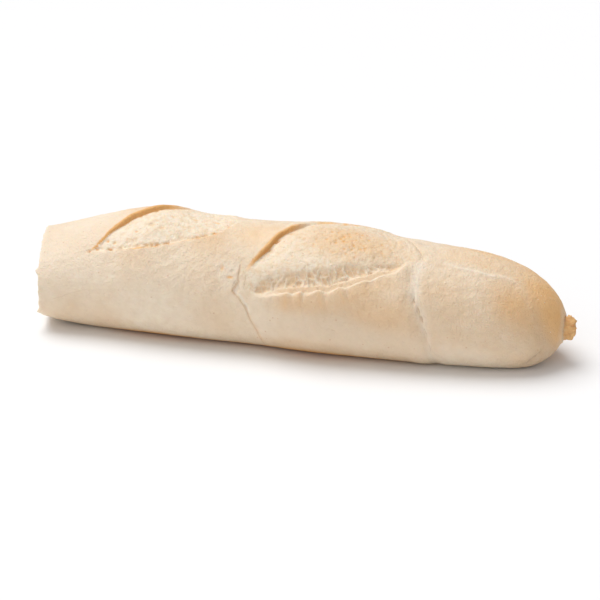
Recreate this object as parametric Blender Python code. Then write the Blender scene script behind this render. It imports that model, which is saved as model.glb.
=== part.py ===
"""A half baguette: a pale, part-baked loaf with two scores, cut across at one end, as one solid.

The loaf lies along X on its flat underside, with its cut end at -X and its rounded end at +X.
Its skin is drawn unrolled: every point has a distance ALONG the loaf from the cut end, and a
distance ACROSS it from the top line, positive towards the front (-Y). Scores, lips and creases
are drawn on that flat skin, which is then wrapped round the loaf's sections.
"""

import math

import bmesh
import bpy
import numpy as np

MM = 0.001

# Driving dimensions, in millimetres.
BODY_LENGTH = 223.2
ROUND_END_START = 180.0  # where the sides begin to draw in towards the rounded end
BASE_LIFT_START = 205.0  # where the underside begins to leave the table
TIP_HEIGHT = 14.4  # height of the rounded end's centre
CUT_END_LIFT = 3.6  # the cut end curls up off the table by this
CUT_END_LIFT_LENGTH = 30.0
CUT_SLANT = 0.28  # the knife ran this much along the loaf for each millimetre across it
CUT_SLANT_FADE = 60.0
WIDEST_AT = 0.42  # share of the height at which a section is widest
LOWER_CORNER = 2.5  # superellipse power of the lower sides
BASE_SINK = 1.12  # the lower sides aim this far below the base, which cuts them off flat

# Sections: distance along, half width, height, sideways shift of the centreline.
SECTIONS = (
    (0.0, 27.0, 34.8, -3.0),
    (12.0, 27.6, 38.2, -1.8),
    (25.0, 28.5, 42.2, -0.6),
    (50.0, 31.2, 47.5, 0.6),
    (75.0, 31.0, 45.6, 0.4),
    (99.0, 29.7, 46.3, 0.0),
    (123.0, 31.8, 47.6, 0.0),
    (147.0, 30.3, 45.8, 0.0),
    (170.0, 28.4, 43.2, 0.0),
    (186.0, 27.0, 42.0, 0.6),
    (223.2, 27.0, 42.0, 1.0),
)

# Each score opened into a leaf: its near lip, then its far lip back to the start, as
# (along, across) on the unrolled skin.
SMALL_LEAF_NEAR = ((24, 22), (34, 24), (47, 25), (58, 23), (70, 16.5), (80, 11), (87.5, -4))
SMALL_LEAF_FAR = ((83, -9), (77, -13.5), (70, -15), (63, -13.5), (52, -7), (42, 4.5), (33, 13.5))
LARGE_LEAF_NEAR = ((96.5, 34.5), (104, 38), (119, 38), (130, 35.5), (144, 29.5), (157, 21), (165, 11))
LARGE_LEAF_FAR = ((163, 4.5), (154, -7.6), (140, -11), (125, -8), (112, 1), (103, 16), (97.5, 27))

# How each leaf stands out of the skin, in millimetres.
LIP_REACH = 8.0  # the crust rises to a lip over this distance
FAR_LIP = 1.2
SMALL_NEAR_LIP = 0.4
LARGE_NEAR_LIP = 1.4
FAR_STEP = 1.2  # the crumb starts this far below the skin at the far lip
GROOVE_REACH = 6.0  # the crumb rises out of the groove behind a lip over this distance
SMALL_GROOVE = 0.8
LARGE_GROOVE = 2.3
LIP_SOFTNESS = 2.8  # half width of the step between crust and crumb
RELIEF_FADE = (52.0, 64.0)  # the relief dies away over this distance down each side

# Two creases run down the front, as (along, across), with their depth and half width.
SEAM_CREASE = ((94, 26), (93, 36), (98, 43), (103, 54), (104.5, 64))
SEAM_DEPTH, SEAM_WIDTH = 0.5, 1.6
STRETCH_CREASE = ((165, 13), (165, 24), (167, 31), (171, 40), (173.5, 50), (174.5, 62))
STRETCH_DEPTH, STRETCH_WIDTH = 0.8, 3.0

# The rounded end stops at a small blunt face, where a scrap of torn crust stands out.
BLUNT_HALF_WIDTH = 6.0
SCRAP_RINGS = (  # distance out from the end, half thickness, half height
    (-0.4, 3.6, 4.8),
    (1.0, 2.7, 5.1),
    (2.6, 2.4, 4.8),
    (3.8, 1.3, 3.0),
)
SCRAP_JAG = 0.12  # how far the scrap's outline wanders, as a share of its size
SCRAP_TEETH = 4

# Mesh spacing.
RING_STEP = 2.3
END_RINGS = 14  # rings that draw in the rounded end
COLUMN_ACROSS = (
    tuple(np.linspace(0.0, 0.5, 19)) + tuple(np.linspace(0.54, 0.74, 5)) + (0.82, 0.91, 1.0)
)
CRUST_COLOUR = (0.80, 0.61, 0.41, 1.0)


def smooth_step(low, high, value):
    """0 below low, 1 above high, with a smooth rise between them."""
    share = np.clip((value - low) / (high - low), 0.0, 1.0)
    return share * share * (3.0 - 2.0 * share)


def spline(knots, values, at):
    """A smooth curve through the values at the knots, with slopes taken from the neighbours."""
    knots = np.asarray(knots, float)
    values = np.asarray(values, float)
    slopes = np.gradient(values, knots)
    at = np.clip(at, knots[0], knots[-1])
    cell = np.clip(np.searchsorted(knots, at, side="right") - 1, 0, len(knots) - 2)
    width = knots[cell + 1] - knots[cell]
    u = (at - knots[cell]) / width
    rise = u * u * (3.0 - 2.0 * u)
    start = u * (1.0 - u) ** 2 * width * slopes[cell]
    end = u * u * (u - 1.0) * width * slopes[cell + 1]
    return values[cell] * (1.0 - rise) + values[cell + 1] * rise + start + end


def round_end(along, start):
    """1 before start, falling to 0 at the tip as a quarter ellipse does."""
    share = np.clip((along - start) / (BODY_LENGTH - start), 0.0, 1.0)
    return np.sqrt(1.0 - share * share)


def section_sizes(along):
    """Half width, top height, base height and sideways shift of the loaf at a distance along it."""
    stations, half_widths, heights, shifts = zip(*SECTIONS)
    drawn_in = round_end(along, ROUND_END_START)
    half_width = spline(stations, half_widths, along) * drawn_in
    top = TIP_HEIGHT + (spline(stations, heights, along) - TIP_HEIGHT) * drawn_in
    curl = np.clip(1.0 - along / CUT_END_LIFT_LENGTH, 0.0, 1.0)
    base = TIP_HEIGHT * (1.0 - round_end(along, BASE_LIFT_START)) + CUT_END_LIFT * curl**2
    return half_width, top, base, spline(stations, shifts, along)


def section_points(along, steps=181):
    """(across, y, z) of one section, dense and in order from the back of the base, over the top, to the
    front of the base."""
    half_width, top, base, shift = (float(v) for v in section_sizes(np.float64(along)))
    angle = np.linspace(-math.pi, math.pi, 2 * steps - 1)
    sine, cosine = np.abs(np.sin(angle)), np.cos(angle)
    widest = base + WIDEST_AT * (top - base)
    upper = cosine >= 0.0
    out = half_width * np.where(upper, sine, sine ** (2.0 / LOWER_CORNER))
    rise = (top - widest) * np.clip(cosine, 0.0, None)
    drop = BASE_SINK * (widest - base) * np.clip(-cosine, 0.0, None) ** (2.0 / LOWER_CORNER)
    z = np.maximum(widest + rise - drop, base)
    y = shift - np.sign(angle) * out
    lengths = np.concatenate([[0.0], np.cumsum(np.hypot(np.diff(y), np.diff(z)))])
    return lengths - lengths[steps - 1], y, z


def skin(along, shares):
    """Across distances, points and outward normals of one section, at shares of the way from the
    top line (0) to the middle of the base (1 at the front, -1 at the back)."""
    across, y, z = section_points(along)
    wanted = np.where(shares < 0.0, -shares * across[0], shares * across[-1])
    py, pz = np.interp(wanted, across, y), np.interp(wanted, across, z)
    reach = 1.0
    ahead = np.clip(wanted + reach, across[0], across[-1])
    behind = np.clip(wanted - reach, across[0], across[-1])
    dy = np.interp(ahead, across, y) - np.interp(behind, across, y)
    dz = np.interp(ahead, across, z) - np.interp(behind, across, z)
    length = np.maximum(np.hypot(dy, dz), 1e-9)
    return wanted, np.stack([py, pz], 1), np.stack([dz, -dy], 1) / length[:, None]


def outline(near, far):
    """A leaf's closed outline, rounded between its drawn points by cutting corners."""
    points = np.array(near + far, float)
    for _ in range(3):
        following = np.roll(points, -1, axis=0)
        corner = np.empty((2 * len(points), 2))
        corner[0::2] = 0.75 * points + 0.25 * following
        corner[1::2] = 0.25 * points + 0.75 * following
        points = corner
    return points


def distance_to_line(points, line, closed):
    """How far each (along, across) point is from a line."""
    ends = np.roll(line, -1, axis=0) if closed else line[1:]
    starts = line if closed else line[:-1]
    edge = ends - starts
    offset = points[:, None, :] - starts[None]
    share = np.clip((offset * edge).sum(2) / (edge**2).sum(1), 0.0, 1.0)
    return np.linalg.norm(offset - share[..., None] * edge, axis=2).min(1)


def is_inside(points, closed_line):
    """Which (along, across) points lie inside a closed line, by counting crossings."""
    x, y = points[:, 0, None], points[:, 1, None]
    ax, ay = closed_line[:, 0], closed_line[:, 1]
    bx, by = np.roll(ax, -1), np.roll(ay, -1)
    crosses = ((ay > y) != (by > y)) & (x < (bx - ax) * (y - ay) / (by - ay + 1e-12) + ax)
    return crosses.sum(1) % 2 == 1


def leaf_relief(points, near, far, near_lip, groove):
    """Height of the skin over its plain form round one opened score: lips, groove and crumb."""
    edge = outline(near, far)
    inside = is_inside(points, edge)
    distance = distance_to_line(points, edge, closed=True) * np.where(inside, 1.0, -1.0)
    first, last = np.array(near[0], float), np.array(near[-1], float)
    chord = (last - first) / np.linalg.norm(last - first)
    from_chord = (points[:, 1] - first[1]) * chord[0] - (points[:, 0] - first[0]) * chord[1]
    far_share = smooth_step(-4.0, 4.0, -from_chord)
    along_chord = (points - first) @ chord / np.linalg.norm(last - first)
    open_share = smooth_step(-0.05, 0.2, along_chord) * smooth_step(-0.05, 0.2, 1.0 - along_chord)
    lip = near_lip + (FAR_LIP - near_lip) * far_share
    step = groove + (FAR_STEP - groove) * far_share
    crust = lip * smooth_step(-LIP_REACH, -LIP_SOFTNESS, distance)
    crumb = -step * (1.0 - smooth_step(LIP_SOFTNESS, GROOVE_REACH, distance))
    across_lip = smooth_step(-LIP_SOFTNESS, LIP_SOFTNESS, distance)
    return open_share * (crust * (1.0 - across_lip) + crumb * across_lip)


def crease_relief(points, line, depth, half_width):
    """A shallow valley along a line on the skin."""
    distance = distance_to_line(points, np.array(line, float), closed=False)
    return -depth * np.exp(-((distance / half_width) ** 2))


def relief(points):
    """Height of the skin over its plain form, for points on the unrolled skin."""
    height = leaf_relief(points, SMALL_LEAF_NEAR, SMALL_LEAF_FAR, SMALL_NEAR_LIP, SMALL_GROOVE)
    height += leaf_relief(points, LARGE_LEAF_NEAR, LARGE_LEAF_FAR, LARGE_NEAR_LIP, LARGE_GROOVE)
    height += crease_relief(points, SEAM_CREASE, SEAM_DEPTH, SEAM_WIDTH)
    height += crease_relief(points, STRETCH_CREASE, STRETCH_DEPTH, STRETCH_WIDTH)
    return height * (1.0 - smooth_step(*RELIEF_FADE, np.abs(points[:, 1])))


def body_ring(along, shares):
    """One ring of points round the loaf, with the relief on it."""
    across, place, normal = skin(along, shares)
    points = np.stack([np.full(len(across), along), across], 1)
    place = place + normal * relief(points)[:, None]
    slant = CUT_SLANT * np.clip(1.0 - along / CUT_SLANT_FADE, 0.0, 1.0)
    return [(along - slant * y, y, z) for y, z in place]


def oval_ring(along, half_width, half_height, shares, jag=0.0):
    """A ring round the tip, in step with the body's rings. Jag makes its outline wander."""
    angles = shares * math.pi
    wander = 1.0 + jag * np.sin(SCRAP_TEETH * angles + along)
    shift = SECTIONS[-1][3]
    y = shift - half_width * wander * np.sin(angles)
    z = TIP_HEIGHT + half_height * wander * np.cos(angles)
    return [(along, float(a), float(b)) for a, b in zip(y, z)]


def ring_stations():
    """Distances along the loaf of its rings: even along the body, and closing up as the end rounds."""
    body = np.linspace(0.0, ROUND_END_START, round(ROUND_END_START / RING_STEP) + 1)
    blunt = math.acos(BLUNT_HALF_WIDTH / SECTIONS[-1][1])
    turn = np.sin(np.linspace(0.0, blunt, END_RINGS + 1)[1:])
    return np.concatenate([body, ROUND_END_START + (BODY_LENGTH - ROUND_END_START) * turn])


def make_loaf():
    """Extrudes one ring of edges along the loaf, placing each copy, and closes both ends."""
    front = np.array(COLUMN_ACROSS)
    shares = np.concatenate([-front[:0:-1], front[:-1]])
    rings = [body_ring(along, shares) for along in ring_stations()]
    for out, half_width, half_height in SCRAP_RINGS:
        jag = SCRAP_JAG if out > 0.0 else 0.0
        rings.append(oval_ring(BODY_LENGTH + out, half_width, half_height, shares, jag))

    mesh = bmesh.new()
    ring = [mesh.verts.new(place) for place in rings[0]]
    edges = [mesh.edges.new((a, b)) for a, b in zip(ring, ring[1:] + ring[:1])]
    mesh.faces.new(ring)
    for places in rings[1:]:
        made = bmesh.ops.extrude_edge_only(mesh, edges=edges)["geom"]
        edges = [item for item in made if isinstance(item, bmesh.types.BMEdge)]
        edges = [edge for edge in edges if len(edge.link_faces) == 1]
        ring = ordered_ring(edges, ring)
        for vertex, place in zip(ring, places):
            vertex.co = place
    mesh.faces.new(ring)
    bmesh.ops.triangulate(mesh, faces=mesh.faces[:])
    bmesh.ops.recalc_face_normals(mesh, faces=mesh.faces[:])
    return mesh


def ordered_ring(edges, last_ring):
    """The new ring's vertices in the order of the ring that they were extruded from."""
    new = {vertex for edge in edges for vertex in edge.verts}
    ring = []
    for old in last_ring:
        ring.append(next(edge.other_vert(old) for edge in old.link_edges if edge.other_vert(old) in new))
    return ring


def centre_on_origin(mesh):
    """Puts the middle of the loaf's box over the origin and its underside on the ground."""
    places = np.array([vertex.co for vertex in mesh.verts])
    low, high = places.min(0), places.max(0)
    shift = np.array([(low[0] + high[0]) / 2, (low[1] + high[1]) / 2, low[2]])
    for vertex, place in zip(mesh.verts, (places - shift) * MM):
        vertex.co = place


def crust_material():
    material = bpy.data.materials.new("crust")
    material.use_nodes = True
    shader = material.node_tree.nodes["Principled BSDF"]
    shader.inputs["Base Color"].default_value = CRUST_COLOUR
    shader.inputs["Roughness"].default_value = 0.62
    shader.inputs["Metallic"].default_value = 0.0
    return material


def main():
    for item in list(bpy.data.objects):
        bpy.data.objects.remove(item)
    mesh = make_loaf()
    centre_on_origin(mesh)
    data = bpy.data.meshes.new("baguette")
    mesh.to_mesh(data)
    mesh.free()
    data.materials.append(crust_material())
    data.shade_smooth()
    data.set_sharp_from_angle(angle=math.radians(50))
    loaf = bpy.data.objects.new("baguette", data)
    bpy.context.scene.collection.objects.link(loaf)


main()
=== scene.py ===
# %% [markdown]
# # A part-baked half baguette
#
# A baguette is a roll of dough, slashed slantwise just before it goes into the oven. The crust sets
# first while the inside keeps swelling, so each slash opens into a leaf: a lip of crust on either
# side, and pale crumb bulging between them. This loaf is part-baked, so its crust is still cream,
# and one end has been cut off.
#
# It is all one piece. What makes it look like bread is on its skin, so these cells draw on the skin
# laid out flat, and only then wrap it round the loaf.

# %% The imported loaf, which gives the place and the size of everything here
import math

import bpy
import numpy as np
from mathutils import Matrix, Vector, noise


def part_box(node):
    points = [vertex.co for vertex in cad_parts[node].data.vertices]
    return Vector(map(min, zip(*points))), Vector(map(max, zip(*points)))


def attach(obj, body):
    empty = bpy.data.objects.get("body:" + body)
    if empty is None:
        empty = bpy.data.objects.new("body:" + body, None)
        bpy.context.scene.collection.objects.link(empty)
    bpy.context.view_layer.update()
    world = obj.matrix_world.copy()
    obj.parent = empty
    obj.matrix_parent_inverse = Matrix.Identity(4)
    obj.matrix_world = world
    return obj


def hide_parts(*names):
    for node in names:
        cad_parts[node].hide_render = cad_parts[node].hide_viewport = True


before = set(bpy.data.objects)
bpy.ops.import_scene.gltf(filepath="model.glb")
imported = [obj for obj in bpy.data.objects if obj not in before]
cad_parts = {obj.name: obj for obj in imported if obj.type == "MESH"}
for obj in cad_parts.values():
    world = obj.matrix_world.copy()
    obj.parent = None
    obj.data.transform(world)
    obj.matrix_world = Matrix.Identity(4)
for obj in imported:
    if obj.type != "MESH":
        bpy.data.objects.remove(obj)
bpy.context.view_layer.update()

LOW, HIGH = (np.array(corner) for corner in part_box("baguette"))
DRAWN_LENGTH = 233.7  # the loaf is drawn in millimetres, and is this long as drawn
MM = (HIGH[0] - LOW[0]) / DRAWN_LENGTH
print("loaf, in mm:", np.round((HIGH - LOW) / MM, 1))


# %% [markdown]
# ## The plain form
#
# The roll's sections are half ellipses above their widest height, and fuller below it, where the
# dough has spread on its tray and gone flat. A short table of sections along the loaf gives its two
# swellings, one under each slash. The rounded end closes as an ellipse does.
#
# The table is read through a smooth curve. Lofting curves would make the same form, but a function
# that says where any point of the skin is can be used again for every lip, crease and grain of
# flour.

# %% Curves and steps that all the shapes use
def smooth_step(low, high, value):
    """0 below low, 1 above high, with a smooth rise between them."""
    share = np.clip((value - low) / (high - low), 0.0, 1.0)
    return share * share * (3.0 - 2.0 * share)


def window(value, start, full, fading, end):
    """A smooth hill: 0 before start, 1 from full to fading, and 0 after end."""
    return smooth_step(start, full, value) * (1.0 - smooth_step(fading, end, value))


def hill(value, middle, half_width):
    """A soft hump of height 1 round the middle."""
    return np.exp(-(((value - middle) / half_width) ** 2))


def spline(knots, values, at):
    """A smooth curve through the values at the knots."""
    knots = np.asarray(knots, float)
    values = np.asarray(values, float)
    slopes = np.gradient(values, knots)
    at = np.clip(at, knots[0], knots[-1])
    cell = np.clip(np.searchsorted(knots, at, side="right") - 1, 0, len(knots) - 2)
    width = knots[cell + 1] - knots[cell]
    u = (at - knots[cell]) / width
    rise = u * u * (3.0 - 2.0 * u)
    start = u * (1.0 - u) ** 2 * width * slopes[cell]
    end = u * u * (u - 1.0) * width * slopes[cell + 1]
    return values[cell] * (1.0 - rise) + values[cell + 1] * rise + start + end


# %% Sections along the loaf
BODY_LENGTH = 223.2
ROUND_END_START = 180.0
BASE_LIFT_START = 205.0
TIP_HEIGHT = 14.4
SECTIONS = (  # distance along, half width, height, sideways shift
    (0, 27, 34.8, -3), (12, 27.6, 38.2, -1.8), (25, 28.5, 42.2, -0.6), (50, 31.2, 47.5, 0.6),
    (75, 31, 45.6, 0.4), (99, 29.7, 46.3, 0), (123, 31.8, 47.6, 0), (147, 30.3, 45.8, 0),
    (170, 28.4, 43.2, 0), (186, 27, 42, 0.6), (223.2, 27, 42, 1),
)
CUT_END_LIFT, CUT_END_LIFT_LENGTH = 3.6, 30.0
CUT_SLANT, CUT_SLANT_FADE = 0.28, 60.0
WIDEST_AT, LOWER_CORNER, BASE_SINK = 0.42, 2.5, 1.12


def round_end(along, start):
    share = np.clip((along - start) / (BODY_LENGTH - start), 0.0, 1.0)
    return np.sqrt(1.0 - share * share)


def section_sizes(along):
    """Half width, top height, base height and sideways shift at distances along the loaf."""
    stations, half_widths, heights, shifts = zip(*SECTIONS)
    drawn_in = round_end(along, ROUND_END_START)
    half_width = spline(stations, half_widths, along) * drawn_in
    top = TIP_HEIGHT + (spline(stations, heights, along) - TIP_HEIGHT) * drawn_in
    curl = np.clip(1.0 - along / CUT_END_LIFT_LENGTH, 0.0, 1.0)
    base = TIP_HEIGHT * (1.0 - round_end(along, BASE_LIFT_START)) + CUT_END_LIFT * curl**2
    return half_width, top, base, spline(stations, shifts, along)


# %% One map of the whole skin: where each place on the flat skin lies on the loaf
MAP_STEP = 0.25
MAP_ALONG = np.arange(0.0, BODY_LENGTH - 1.0, MAP_STEP)
MAP_SHARES = np.linspace(-1.0, 1.0, 961)  # from the base's middle, round the back, top and front


def map_skin():
    half_width, top, base, shift = (value[:, None] for value in section_sizes(MAP_ALONG))
    angle = np.linspace(-math.pi, math.pi, 1441)[None]
    sine, cosine = np.abs(np.sin(angle)), np.cos(angle)
    widest = base + WIDEST_AT * (top - base)
    out = half_width * np.where(cosine >= 0.0, sine, sine ** (2.0 / LOWER_CORNER))
    drop = BASE_SINK * (widest - base) * np.clip(-cosine, 0.0, None) ** (2.0 / LOWER_CORNER)
    z = np.maximum(widest + (top - widest) * np.clip(cosine, 0.0, None) - drop, base)
    y = shift - np.sign(angle) * out
    lengths = np.cumsum(np.hypot(np.diff(y, axis=1), np.diff(z, axis=1)), axis=1)
    lengths = np.concatenate([np.zeros((len(y), 1)), lengths], 1)
    girth = lengths[:, -1]
    places = []
    for row_y, row_z, row_length, row_girth in zip(y, z, lengths, girth):
        wanted = (MAP_SHARES + 1.0) * 0.5 * row_girth
        row = [np.interp(wanted, row_length, row_y), np.interp(wanted, row_length, row_z)]
        places.append(np.stack(row, 1))
    return np.array(places), girth / 2.0


MAP_PLACES, MAP_HALF_GIRTH = map_skin()


def half_girth(along):
    return np.interp(along, MAP_ALONG, MAP_HALF_GIRTH)


def place(along, across):
    """Where a place on the flat skin lies on the plain loaf, in drawing millimetres."""
    row = np.clip(along / MAP_STEP, 0.0, len(MAP_ALONG) - 1.001)
    share = np.clip(across / half_girth(along), -1.0, 1.0)
    column = np.clip((share + 1.0) * 0.5 * (len(MAP_SHARES) - 1), 0.0, len(MAP_SHARES) - 1.001)
    i, j = row.astype(int), column.astype(int)
    u, v = (row - i)[:, None], (column - j)[:, None]
    near = MAP_PLACES[i, j] * (1.0 - v) + MAP_PLACES[i, j + 1] * v
    far = MAP_PLACES[i + 1, j] * (1.0 - v) + MAP_PLACES[i + 1, j + 1] * v
    y, z = (near * (1.0 - u) + far * u).T
    slant = CUT_SLANT * np.clip(1.0 - along / CUT_SLANT_FADE, 0.0, 1.0)
    return np.stack([along - slant * y, y, z], 1)


print("half girth at the two swellings:", half_girth((50.0, 123.0)).round(1), "mm")


# %% From the flat skin to the frame
def wrap(along, across, height):
    """Where a place at some height over the flat skin lies on the loaf."""
    reach = 0.5
    ahead = np.minimum(along + reach, MAP_ALONG[-1])
    lengthwise = place(ahead, across) - place(ahead - 2.0 * reach, across)
    crosswise = place(along, across + reach) - place(along, across - reach)
    normal = np.cross(crosswise, lengthwise)
    normal /= np.maximum(np.linalg.norm(normal, axis=1, keepdims=True), 1e-9)
    return place(along, across) + normal * np.asarray(height)[:, None]


CUT_REACH = 6.7  # the cut end's back corner stands this far behind the cut's middle
BACK_REACH = 31.8  # the loaf's back bulges this far from its middle line


def to_frame(places):
    """From drawing millimetres to the frame's metres."""
    x = LOW[0] + (places[:, 0] + CUT_REACH) * MM
    y = HIGH[1] + (places[:, 1] - BACK_REACH) * MM
    return np.stack([x, y, LOW[2] + places[:, 2] * MM], 1)


# %% [markdown]
# ## A net of points, finest where the slashes are
#
# The skin gets one regular net of faces, so that every crossing has four neighbours and shading
# stays clean. A lip is a fraction of a millimetre sharp and the underside is plain, so the net's
# spacing changes along the loaf and round it, rather than being fine everywhere.

# %% The net
def spaced(*stretches):
    """Values along a line: each stretch is (start, end, spacing)."""
    values = [np.linspace(a, b, round((b - a) / gap), endpoint=False) for a, b, gap in stretches]
    return np.concatenate(values)


BODY_ROWS = spaced((0, 4, 0.5), (4, 30, 0.9), (30, 92, 0.56), (92, 172, 0.44), (172, 196, 0.75))
BLUNT_HALF_WIDTH = 6.0
end_start = math.asin((196.0 - ROUND_END_START) / (BODY_LENGTH - ROUND_END_START))
end_turns = np.linspace(end_start, math.acos(BLUNT_HALF_WIDTH / SECTIONS[-1][1]), 48)
END_ROWS = ROUND_END_START + (BODY_LENGTH - ROUND_END_START) * np.sin(end_turns)
ROWS = np.concatenate([BODY_ROWS, END_ROWS])
WIDE_GIRTH = 90.0
COLUMNS = spaced((-90, -56, 1.5), (-56, -14, 1.3), (-14, 8, 0.6), (8, 43, 0.44),
                 (43, 58, 0.9), (58, 90, 1.5)) / WIDE_GIRTH

along_grid, share_grid = (grid.ravel() for grid in np.meshgrid(ROWS, COLUMNS, indexing="ij"))
SPOTS = np.stack([along_grid, share_grid * half_girth(along_grid)], 1)
ALONG, ACROSS = SPOTS.T
PLAIN = place(ALONG, ACROSS)
print(len(ROWS), "rows of", len(COLUMNS), "points")

# %% What the drawing fills in: how far each spot moves, and the masks that the finish reads
FAR_FROM_SLIT = 3.0
shift = np.zeros_like(SPOTS)
height = np.zeros(len(SPOTS))
# The browning mask also carries painted shade in hollows, pits and creases; the slit mask is painted
# shade in hair-thin cracks; the pale mask carries some painted light and a painted highlight; the tan
# mask carries some painted shade.
crumb, bake_and_shade, pale, slit_shade, tan = (np.zeros(len(SPOTS)) for _ in range(5))
slit_side = np.full(len(SPOTS), FAR_FROM_SLIT)


def at_least(mask, amount, which=slice(None)):
    """Raises a mask to an amount wherever it holds less."""
    mask[which] = np.maximum(mask[which], amount)


def region(along, across):
    """1 inside a stretch of skin with soft edges: where each side starts, is full, fades and ends."""
    return window(ALONG, *along) * window(ACROSS, *across)


# %% [markdown]
# ## Noise
#
# Dough is never smooth: it is lumpy over centimetres, leathery over millimetres. Noise read at the
# loaf's own points has no seam and doesn't stretch at the rounded end. Noise read on the flat skin
# can be stretched on purpose, which gives wrinkles with a direction.

# %% Lumps and stretched grain
def lumps(points, size, seed):
    """Soft noise from about -1 to 1, in lumps of the given size."""
    return np.array([noise.noise(Vector(p)) for p in points / size + seed * 7.31])


def grain(length, width, turn, seed, spots=SPOTS):
    """Noise on the flat skin, drawn out into streaks at a turn from the loaf's length."""
    cosine, sine = math.cos(turn), math.sin(turn)
    lengthwise = (spots[:, 0] * cosine + spots[:, 1] * sine) / length
    crosswise = (spots[:, 1] * cosine - spots[:, 0] * sine) / width
    return np.array([noise.noise(Vector((a, b, seed))) for a, b in zip(lengthwise, crosswise)])


def cells(points, seed):
    """Bubbles: for each point the distance to the nearest bubble's middle, how far inside its walls
    it lies, and a number from 0 to 1 that is the bubble's own."""
    found = [noise.voronoi(Vector(p)) for p in points + seed * 3.17]
    nearest = np.array([distances[0] for distances, _ in found])
    wall = np.array([distances[1] for distances, _ in found]) - nearest
    middles = np.array([middles[0] for _, middles in found])
    own = np.abs(np.sin(middles @ np.array([12.99, 78.23, 37.72])) * 43758.5) % 1.0
    return nearest, wall, own


FADE = 1.0 - smooth_step(56.0, 66.0, np.abs(ACROSS))  # no relief on the flat underside
height += FADE * (0.30 * lumps(PLAIN, 17.0, 1) + 0.10 * lumps(PLAIN, 5.5, 2))
print("lumps:", height.min().round(2), "to", height.max().round(2), "mm")


# %% [markdown]
# ## The slashes
#
# Each slash has a far lip and a near lip. The far one is what bakers call an ear: a flap of crust
# that the blade undercut, which lifts and browns underneath. The near lip rolls outwards. Between
# them the crumb starts low, in the shadow of the lips, and bulges in the middle.
#
# A lip overhangs, so a height alone can't draw it. Each lip is a line on the flat skin with a
# profile across it, and the profile moves points sideways as well as up. Points are also drawn in
# towards the line, where the shape is sharpest. Carving with booleans would leave a raw edge; a
# real lip is the skin itself, turned over.

# %% Lines on the skin, and places beside them
GROUP = 6000  # spots handled at a time, to keep the tables of distances small


def thread(points, step=0.7):
    """A smooth line through a few drawn points."""
    points = np.asarray(points, float)
    reach = np.concatenate([[0.0], np.cumsum(np.hypot(*np.diff(points, axis=0).T))])
    at = np.linspace(0.0, reach[-1], max(3, round(reach[-1] / step)))
    return np.stack([spline(reach, points[:, 0], at), spline(reach, points[:, 1], at)], 1)


def beside(line, reach=16.0):
    """For the spots near a line: which they are, their distance from it, the nearest place on it, how
    many millimetres along it that is, and on which side they lie (+1 is to the right, seen from its
    start)."""
    close = np.all((SPOTS > line.min(0) - reach) & (SPOTS < line.max(0) + reach), axis=1)
    which = np.flatnonzero(close)
    starts, steps = line[:-1], np.diff(line, axis=0)
    lengths = np.hypot(*steps.T)
    begun = np.cumsum(lengths) - lengths
    parts = []
    for group in np.array_split(SPOTS[which], len(which) // GROUP + 1):
        offset = group[:, None] - starts
        share = np.clip((offset * steps).sum(2) / lengths**2, 0.0, 1.0)
        nearest = starts + share[..., None] * steps
        gap = np.linalg.norm(group[:, None] - nearest, axis=2)
        best = gap.argmin(1)
        row = np.arange(len(group))
        turned = steps[best, 0] * offset[row, best, 1] - steps[best, 1] * offset[row, best, 0]
        parts.append((gap[row, best], nearest[row, best],
                      begun[best] + share[row, best] * lengths[best], -np.sign(turned)))
    gap, nearest, reached, side = (np.concatenate(part) for part in zip(*parts))
    return which, gap, nearest, reached, side


def is_inside(outline):
    """Which spots lie inside a closed line on the skin."""
    close = np.all((SPOTS > outline.min(0)) & (SPOTS < outline.max(0)), axis=1)
    found = np.zeros(len(SPOTS), bool)
    (ax, ay), (bx, by) = outline.T, np.roll(outline, -1, axis=0).T
    for which in np.array_split(np.flatnonzero(close), close.sum() // GROUP + 1):
        x, y = ALONG[which, None], ACROSS[which, None]
        crossing = ((ay > y) != (by > y)) & (x < (bx - ax) * (y - ay) / (by - ay + 1e-12) + ax)
        found[which] = crossing.sum(1) % 2 == 1
    return found


def between(near, far):
    """Which spots lie between a slash's lips, where its crumb shows."""
    inside = is_inside(np.concatenate([near, far[-2:0:-1]]))
    crumb[inside] = 1.0
    return inside


def dimple(middle, radii, turn=0.0, edge=0.5):
    """1 inside an oval spot on the skin, falling to 0 outside it."""
    cosine, sine = math.cos(turn), math.sin(turn)
    offset = SPOTS - np.array(middle)
    u = (offset[:, 0] * cosine + offset[:, 1] * sine) / radii[0]
    v = (offset[:, 1] * cosine - offset[:, 0] * sine) / radii[1]
    return 1.0 - smooth_step(1.0 - edge, 1.0 + edge, np.hypot(u, v))


def blush(middle, radii, turn=0.0):
    """A spot with a very soft edge."""
    return dimple(middle, radii, turn, edge=0.9)


# %% The profile across each kind of lip
EAR = np.array([  # distance across the line, where that goes, share of the lip, share of the drop
    (-10, -10, 0, 0), (-5, -5, 0.35, 0), (-2.5, -2.4, 0.78, 0), (-1.2, -1.1, 0.97, 0),
    (-0.6, -0.4, 1, 0), (0, 0.35, 0.88, 0), (0.4, 0.75, 0.55, 0.25), (0.8, 0.95, 0.1, 0.8),
    (1.4, 1.3, 0, 1), (2.4, 2.2, 0, 0.95), (5, 5, 0, 0.5), (10, 10, 0, 0),
])
ROLL = np.array([
    (-14, -14, 0, 0), (-8, -8, 0.22, 0), (-4, -4, 0.6, 0), (-1.6, -1.55, 0.92, 0), (-0.7, -0.5, 1, 0),
    (-0.1, 0.1, 0.9, 0.04), (0.4, 0.5, 0.55, 0.14), (1, 1, 0.2, 0.24), (2.4, 2.4, 0, 0.44),
    (3.2, 3.2, 0, 0.72), (4.5, 4.5, 0, 1), (7.5, 7.5, 0, 0.62), (11, 11, 0, 0.12), (14, 14, 0, 0),
])
TORN = np.array([
    (-8, -8, 0, 0), (-3, -3, 0.55, 0), (-1, -0.9, 1, 0), (-0.2, 0.1, 0.85, 0), (0.3, 0.35, 0.3, 0.5),
    (0.9, 0.7, 0, 1), (2.5, 2.4, 0, 0.85), (8, 8, 0, 0),
])
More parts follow.
